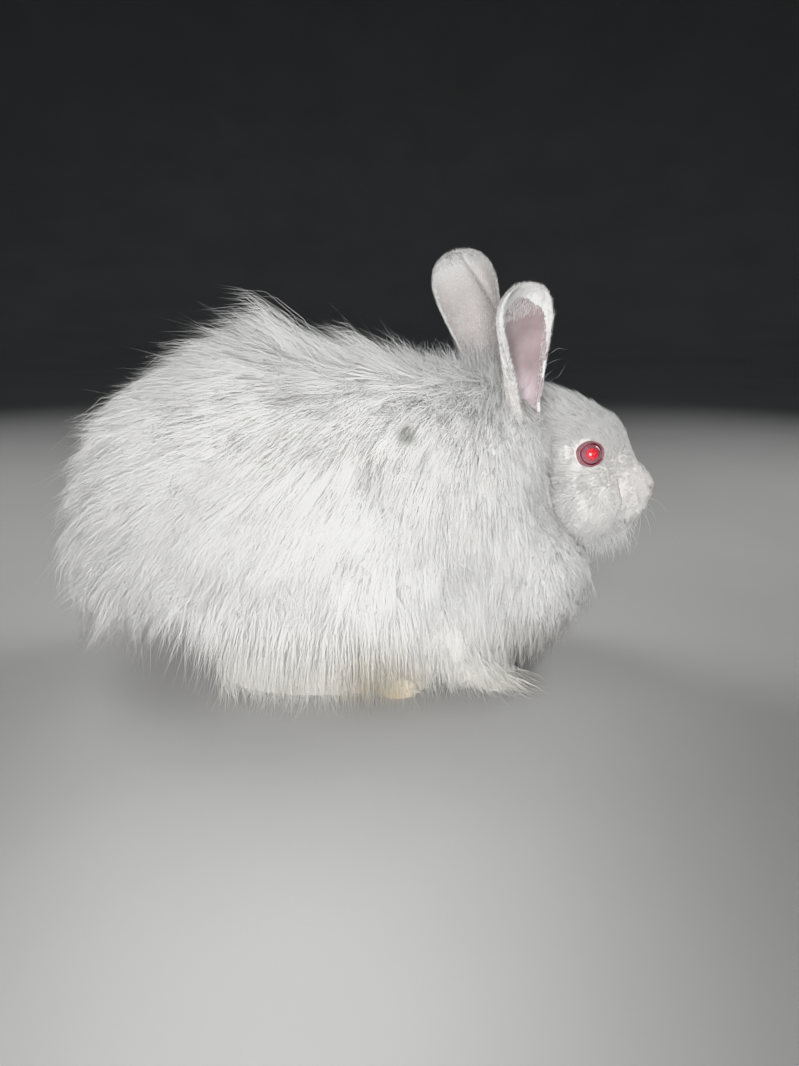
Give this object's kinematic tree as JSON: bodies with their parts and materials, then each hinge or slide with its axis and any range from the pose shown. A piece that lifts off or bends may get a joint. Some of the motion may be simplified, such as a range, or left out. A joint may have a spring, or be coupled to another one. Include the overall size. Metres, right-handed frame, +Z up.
{
  "type": "angora rabbit",
  "caption": "Life-size long-coated white rabbit crouched on the floor, head forward, ears upright, wool in long soft locks.",
  "frame": {"origin": "on the floor under the middle of the bounding box", "axes": "+X towards the rabbit's face, +Y towards its left side, +Z up"},
  "size_m": [0.407, 0.2136, 0.2827],
  "materials": {
    "wool": "long soft wool",
    "short_fur": "short soft fur",
    "ear_skin": "thin furred skin",
    "eye": "wet gloss"
  },
  "bodies": {
    "root": {"head": "short_fur", "neck": "wool", "torso": "wool", "tail": "wool", "fore_leg_right": "short_fur", "fore_leg_left": "short_fur", "hind_leg_right": "wool", "hind_leg_left": "wool", "ear_right": "ear_skin", "ear_left": "ear_skin", "eye_right": "eye", "eye_left": "eye"}
  },
  "joints": []
}
